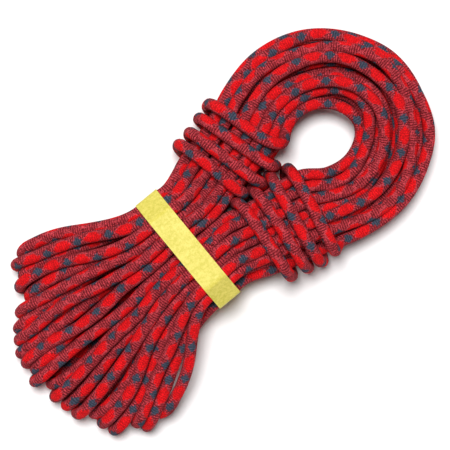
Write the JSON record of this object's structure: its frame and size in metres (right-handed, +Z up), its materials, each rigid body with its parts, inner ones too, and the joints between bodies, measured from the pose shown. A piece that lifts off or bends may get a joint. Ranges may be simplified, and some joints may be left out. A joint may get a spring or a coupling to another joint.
{
  "type": "dynamic climbing rope",
  "caption": "Kernmantle climbing rope put up in a flaked coil: a fan of bights, a banded waist, and an arch whose legs are wrapped by the rope's two free ends.",
  "frame": {"origin": "centre of the coil's bounding box, on the surface that it lies on", "axes": "+X along the coil from the fan of bights to the arch, +Y towards the left leg, +Z up from the surface that it lies on"},
  "size_m": [0.413, 0.193, 0.0854],
  "materials": {
    "rope_sheath": "braided polyamide sheath in red and slate blue, dry and slightly fuzzy",
    "rope_core": "undyed twisted polyamide strands",
    "end_sleeve": "heat-shrunk marking sleeve",
    "fused_tip": "sheath and core melted together",
    "label_paper": "yellow printed paper band, left blank"
  },
  "bodies": {
    "root": {"hank_loops": "rope_sheath", "left_wrap": "rope_sheath", "right_wrap": "rope_sheath", "left_tail_sheath": "rope_sheath", "right_tail_sheath": "rope_sheath", "left_core_strands": "rope_core", "right_core_strands": "rope_core", "left_end_sleeve": "end_sleeve", "right_end_sleeve": "end_sleeve", "left_fused_tip": "fused_tip", "right_fused_tip": "fused_tip", "label_band": "label_paper", "label_overlap": "label_paper"}
  },
  "joints": []
}
